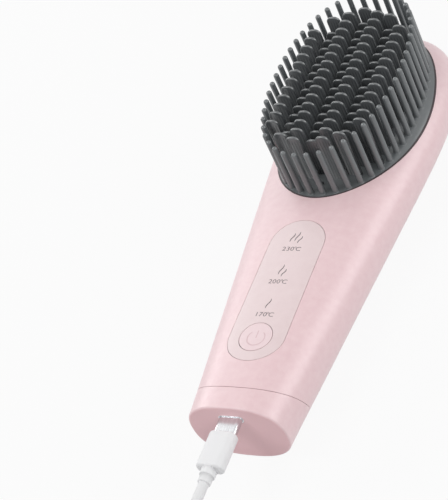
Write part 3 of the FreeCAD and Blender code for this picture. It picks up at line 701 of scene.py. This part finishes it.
def raised_line(x, place):
    """Half-round ridge along a plan line: an ellipse section that stands across the line.

    A high power of the way from the middle shrinks the section at the two ends.
    """
    ahead = np.stack([np.gradient(x), np.gradient(place)], axis=1)
    ahead /= np.linalg.norm(ahead, axis=1)[:, None]
    turn = full_turn(LINE_AROUND)
    shrunk = 1 - np.linspace(-1, 1, len(x)) ** END_POWER
    size = np.sqrt(np.clip(shrunk, END_SIZE, 1))[:, None]
    out = size * LINE_WIDTH / 2 * np.cos(turn)
    across = x[:, None] - out * ahead[:, 1:]
    along = place[:, None] + out * ahead[:, :1]
    level = front_height(x, place)[:, None] + size * LINE_HEIGHT * np.sin(turn)
    return np.stack([across, along, level], axis=-1)


def power_sign():
    """Ring of 280 degrees round the key's middle, and a bar from there to the ring's opening."""
    turn = np.radians(np.linspace(*SIGN_ARC, LINE_STEPS))
    ring = raised_line(SIGN_X + SIGN_RADIUS * np.cos(turn),
                       BUTTON_PLACE - SIGN_DROP + SIGN_RADIUS * np.sin(turn))
    bar = raised_line(np.full(LINE_STEPS, SIGN_X),
                      BUTTON_PLACE + np.linspace(*BAR_SPAN, LINE_STEPS))
    points = np.stack([ring, bar])
    return points, stack_faces(*points.shape[:3])


# Painted shade: the raised sign is drawn a deeper pink than the key.
sign_painted_shade = painted_finish("sign_painted_shade", (223, 192, 196), (217, 186, 190))
sign = make_piece("power_sign", *power_sign(), sign_painted_shade)
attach(sign, "button")


# Plugs of the charging cable
# A small oval plug at the brush and a flat oblong one at the far end, each a steel tip with a
# white grip moulded over it. Behind the small plug a stepped collar keeps the cable from kinking.

plug_white = moulded_finish("plug_white", (242, 242, 243), (237, 237, 239), 0.48, depth=0.05)
dress(socket_steel, "usb_plug_shell", "usb_a_shell")
PORT_HEIGHT = 19.65
FAR_X, FAR_HEIGHT = 38.15, 4.0
FAR_END = -62.6
END_INSET = 1.3
GRIP_STEPS, CORNER_STEPS = 6, 7
COLLAR_EDGE = 0.3
COLLAR_AROUND = 24


def corner_turns(steps):
    """Angles round the four corners of an oblong, and the sides on which each corner lies."""
    turn = np.ravel(quarter_turn(steps) + np.arange(4)[:, None] * np.pi / 2)
    return turn, np.repeat([[1, 1], [-1, 1], [-1, -1], [1, -1]], steps, axis=0)


def moulded_grip(half, corner, middle, ends, edge):
    """Oblong with round corners between two places, drawn in at both by a quarter circle."""
    over = quarter_turn(GRIP_STEPS)
    inset = edge * (1 - np.sin(over))
    along = edge * (1 - np.cos(over))
    inset = np.r_[END_INSET * edge, inset, inset[::-1], END_INSET * edge]
    place = np.r_[ends[0], ends[0] - along, ends[1] + along[::-1], ends[1]]
    turn, side = corner_turns(CORNER_STEPS)
    centre = side * (np.array(half) - corner)
    arm = corner - inset[:, None]
    points = np.empty((len(inset), len(turn), 3))
    points[..., 0] = middle[0] + centre[:, 0] + arm * np.cos(turn)
    points[..., 1] = place[:, None]
    points[..., 2] = middle[1] + centre[:, 1] + arm * np.sin(turn)
    return points, stack_faces(1, len(inset), len(turn))


def turned_collar(start, steps):
    """Turned steps along the port's axis, each rounded over at its far edge by a quarter circle."""
    over = quarter_turn(ROUND_STEPS)
    radius, place = [], []
    for width, end in steps:
        radius += [width, *(width - COLLAR_EDGE * (1 - np.cos(over)))]
        place += [start, *(end + COLLAR_EDGE * (1 - np.sin(over)))]
        start = end
    radius, place = np.array(radius)[:, None], np.array(place)[:, None]
    turn = full_turn(COLLAR_AROUND)
    points = np.empty((len(radius), COLLAR_AROUND, 3))
    points[..., 0] = radius * np.cos(turn)
    points[..., 1] = place
    points[..., 2] = PORT_HEIGHT + radius * np.sin(turn)
    return points, stack_faces(1, len(radius), COLLAR_AROUND)


near_shape = moulded_grip(half=(4.8, 2.6), corner=2.3, middle=(0, PORT_HEIGHT),
                          ends=(-5.95, -19.45), edge=0.9)
far_shape = moulded_grip(half=(7.8, 4.0), corner=1.6, middle=(FAR_X, FAR_HEIGHT),
                         ends=(-36.6, FAR_END), edge=1.0)
collar_shape = turned_collar(start=-19.2, steps=((2.6, -22.0), (2.15, -24.6)))
plug_grip = make_piece("plug_grip", *near_shape, plug_white)
far_grip = make_piece("far_grip", *far_shape, plug_white)
collar = make_piece("plug_collar", *collar_shape, plug_white)
for piece, node in ((plug_grip, "usb_plug_body"), (far_grip, "usb_a_body"), (collar, "plug_boot")):
    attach(piece, "cable")
    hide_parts(node)


# Cable tie
# A soft white woven strap that goes once round the bundle of turns on the coil's far side.
# Its ends lie over each other and hold by hook and loop.

STRAP_MIDDLE = (16.075, -126.7, 9.15)
STRAP_REACH = (3.475, 6.15)
STRAP_CORNER = 3.0
STRAP_FLAT = (3.65, 0.05)
STRAP_EDGE = 0.35
EDGE_STEPS = 4


def strap_band():
    """Strap with a rounded oblong section, led round an oblong with round corners."""
    turn, side = corner_turns(CORNER_STEPS)
    edge, rim = corner_turns(EDGE_STEPS)
    middle_line = STRAP_CORNER - STRAP_FLAT[1] - STRAP_EDGE
    out = middle_line + rim[:, 1] * STRAP_FLAT[1] + STRAP_EDGE * np.sin(edge)
    bend = side * STRAP_REACH
    points = np.empty((len(turn), len(edge), 3))
    points[..., 0] = STRAP_MIDDLE[0] + rim[:, 0] * STRAP_FLAT[0] + STRAP_EDGE * np.cos(edge)
    points[..., 1] = STRAP_MIDDLE[1] + bend[:, :1] + out * np.cos(turn)[:, None]
    points[..., 2] = STRAP_MIDDLE[2] + bend[:, 1:] + out * np.sin(turn)[:, None]
    return points, band_faces(len(turn), len(edge))


strap = moulded_finish("strap_fabric", (226, 226, 228), (214, 214, 217), 0.7, drift=900.0,
                       depth=0.4)
band = make_piece("cable_strap", *strap_band(), strap)
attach(band, "cable")
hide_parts("cable_tie")


# Charging cable
# A round white PVC cable, about a metre long: its first stretch hangs from the port.
# The rest is wound into a coil on the table, held by the strap.

white_pvc = moulded_finish("white_pvc", (238, 238, 239), (233, 233, 234), 0.52, depth=0.05)
CABLE_RADIUS = 0.0017
COIL_MIDDLE = (16.075, -108)
COIL_INNER, COIL_OUTER = 15.325, 22.075
COIL_TURNS, LAYER_TURNS, WOUND_TURNS = 7.5, 2.0, 1.5
COIL_STEPS, FALL_STEPS = 121, 6
TURN_STEP, LAYER_STEP = 4.5, 4.2
TOP_LAYER = 3
LOW_LEVEL, TOP_LEVEL = 2.6, 15.2
NEAR_X, COIL_ENTRY = -6.0, -104.6
FIRST_FALL = ((0, -32.85, PORT_HEIGHT), (NEAR_X, -96.6, LOW_LEVEL))
LAST_FALL = ((FAR_X, -98.6, TOP_LEVEL), (FAR_X, -68.6, FAR_HEIGHT))
IN_COLLAR = (0, -22.85, PORT_HEIGHT)


def eased_fall(start, end):
    """Points at even places between two ends, eased across and in height by a cubic S-curve."""
    share = np.linspace(0, 1, FALL_STEPS)[:, None]
    ease = share ** 2 * (3 - 2 * share)
    return np.array(start) + np.subtract(end, start) * np.hstack([ease, share, ease])


def cable_coil():
    """Flat spirals in four layers, wound inwards and outwards in turn.

    At the end of each layer a half turn climbs to the next by half a cosine.
    """
    turns = np.linspace(0, COIL_TURNS, COIL_STEPS)
    layer = np.minimum((turns / LAYER_TURNS).astype(int), TOP_LAYER)
    local = turns - layer * LAYER_TURNS
    wound = np.minimum(local, WOUND_TURNS) * TURN_STEP
    radius = np.where(layer % 2 == 0, COIL_OUTER - wound, COIL_INNER + wound)
    climb = np.maximum(0, local - WOUND_TURNS) / (LAYER_TURNS - WOUND_TURNS)
    level = LOW_LEVEL + LAYER_STEP * (layer + (1 - np.cos(np.pi * climb)) / 2)
    angle = np.pi + 2 * np.pi * turns
    return np.stack([COIL_MIDDLE[0] + radius * np.cos(angle),
                     COIL_MIDDLE[1] + radius * np.sin(angle), level], axis=1)


route = in_frame(np.vstack([
    IN_COLLAR, eased_fall(*FIRST_FALL), (NEAR_X, COIL_ENTRY, LOW_LEVEL), cable_coil(),
    (FAR_X, COIL_ENTRY, TOP_LEVEL), eased_fall(*LAST_FALL), (FAR_X, FAR_END, FAR_HEIGHT)]))
curve = bpy.data.curves.new("charging_cable", "CURVE")
curve.dimensions = "3D"
line = curve.splines.new("NURBS")
line.points.add(len(route) - 1)
line.points.foreach_set("co", np.c_[route, np.ones(len(route))].ravel())
line.order_u = 3
line.use_endpoint_u = True
line.resolution_u = 6
curve.bevel_depth = CABLE_RADIUS
curve.bevel_resolution = 6
curve.use_fill_caps = True
curve.materials.append(white_pvc)
cable = set_down("charging_cable", curve)
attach(cable, "cable")
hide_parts("cable_lead", "cable_coil", "cable_tail")


# Floor, light and camera
# A plain pale table under soft studio light, seen from the front and above the base.
# Table and backdrop look white, and the table keeps a faint shadow of the brush.

FLOOR_HALF = 3
FLOOR_GREY = (205, 205, 206)
FLOOR_GLOW = 0.92
PLAIN_WHITE = (1, 1, 1, 1)
WORLD_LIGHT = 0.3


def seen_rays(tree):
    """One for a camera, glossy or glass ray, else nought: three values of Light Path added up."""
    ray = add_node(tree, "LightPath")
    total = ray.outputs["Is Camera Ray"]
    for kind in ("Is Glossy Ray", "Is Transmission Ray"):
        more = add_node(tree, "Math", operation="ADD")
        join(tree, (total, more.inputs[0]), (ray.outputs[kind], more.inputs[1]))
        total = more.outputs["Value"]
    return total


def pale_floor():
    """Pale table: a matt white, mixed for camera, glossy and glass rays with an even white glow."""
    finish = bpy.data.materials.new("pale_floor")
    finish.use_nodes = True
    tree = finish.node_tree
    shader = tree.nodes["Principled BSDF"]
    set_inputs(shader, {"Base Color": screen(FLOOR_GREY), "Roughness": 0.9})
    glow = add_node(tree, "Emission")
    share = add_node(tree, "Math", {1: FLOOR_GLOW}, operation="MULTIPLY")
    mix = add_node(tree, "MixShader")
    join(tree,
         (seen_rays(tree), share.inputs[0]),
         (share.outputs["Value"], mix.inputs["Fac"]),
         (shader.outputs["BSDF"], mix.inputs[1]),
         (glow.outputs["Emission"], mix.inputs[2]),
         (mix.outputs["Shader"], tree.nodes["Material Output"].inputs["Surface"]))
    return finish


corners = [(x * FLOOR_HALF, y * FLOOR_HALF, 0) for x, y in ((-1, -1), (1, -1), (1, 1), (-1, 1))]
floor_mesh = bpy.data.meshes.new("floor")
floor_mesh.from_pydata(corners, [], [(0, 1, 2, 3)])
floor_mesh.materials.append(pale_floor())
floor = set_down("floor", floor_mesh)


def studio_world():
    """Even soft light, which camera, glossy and glass rays see as a white backdrop."""
    world = bpy.data.worlds.new("studio")
    world.use_nodes = True
    tree = world.node_tree
    light = tree.nodes["Background"]
    set_inputs(light, {"Color": PLAIN_WHITE, "Strength": WORLD_LIGHT})
    backdrop = add_node(tree, "Background", {"Color": PLAIN_WHITE})
    mix = add_node(tree, "MixShader")
    join(tree,
         (seen_rays(tree), mix.inputs["Fac"]),
         (light.outputs["Background"], mix.inputs[1]),
         (backdrop.outputs["Background"], mix.inputs[2]),
         (mix.outputs["Shader"], tree.nodes["World Output"].inputs["Surface"]))
    return world


bpy.context.scene.world = studio_world()


def softbox(name, place, aim, size, power):
    """Oblong area lamp at a place, turned towards an aim."""
    data = bpy.data.lights.new(name, "AREA")
    data.shape = "RECTANGLE"
    data.size, data.size_y = size
    data.energy = power
    lamp = set_down(name, data)
    lamp.location = place
    back = np.array(place) - np.array(aim)
    tilt = math.acos(back[2] / np.linalg.norm(back))
    lamp.rotation_euler = (tilt, 0, math.atan2(back[0], -back[1]))


BODY_AIM, HEAD_AIM = (0, 0, 0.02), (0, 0.04, 0.03)
softbox("key", (-0.4, -0.3, 0.8), BODY_AIM, size=(0.45, 0.45), power=2.75)
softbox("left_box", (-0.56, 0.44, 0.36), BODY_AIM, size=(0.6, 0.6), power=0.9)
softbox("left_strip", (-0.68, 0.12, 0.34), HEAD_AIM, size=(0.4, 0.12), power=1.0)
softbox("right_strip", (0.6, 0.2, 0.34), BODY_AIM, size=(0.8, 0.46), power=2.25)
softbox("right_front", (0.42, -0.56, 0.48), HEAD_AIM, size=(0.4, 0.4), power=1.0)

CAMERA_PLACE = (0.25814, -0.35692, 0.39817)
CAMERA_TURNS = (45.923, 20.995, 21.505)
camera_data = bpy.data.cameras.new("camera")
camera_data.lens = 121.05
camera_data.sensor_width = 36
camera = set_down("camera", camera_data)
camera.location = CAMERA_PLACE
camera.rotation_euler = [math.radians(turn) for turn in CAMERA_TURNS]
bpy.context.scene.camera = camera
bpy.context.scene.view_settings.view_transform = "Standard"
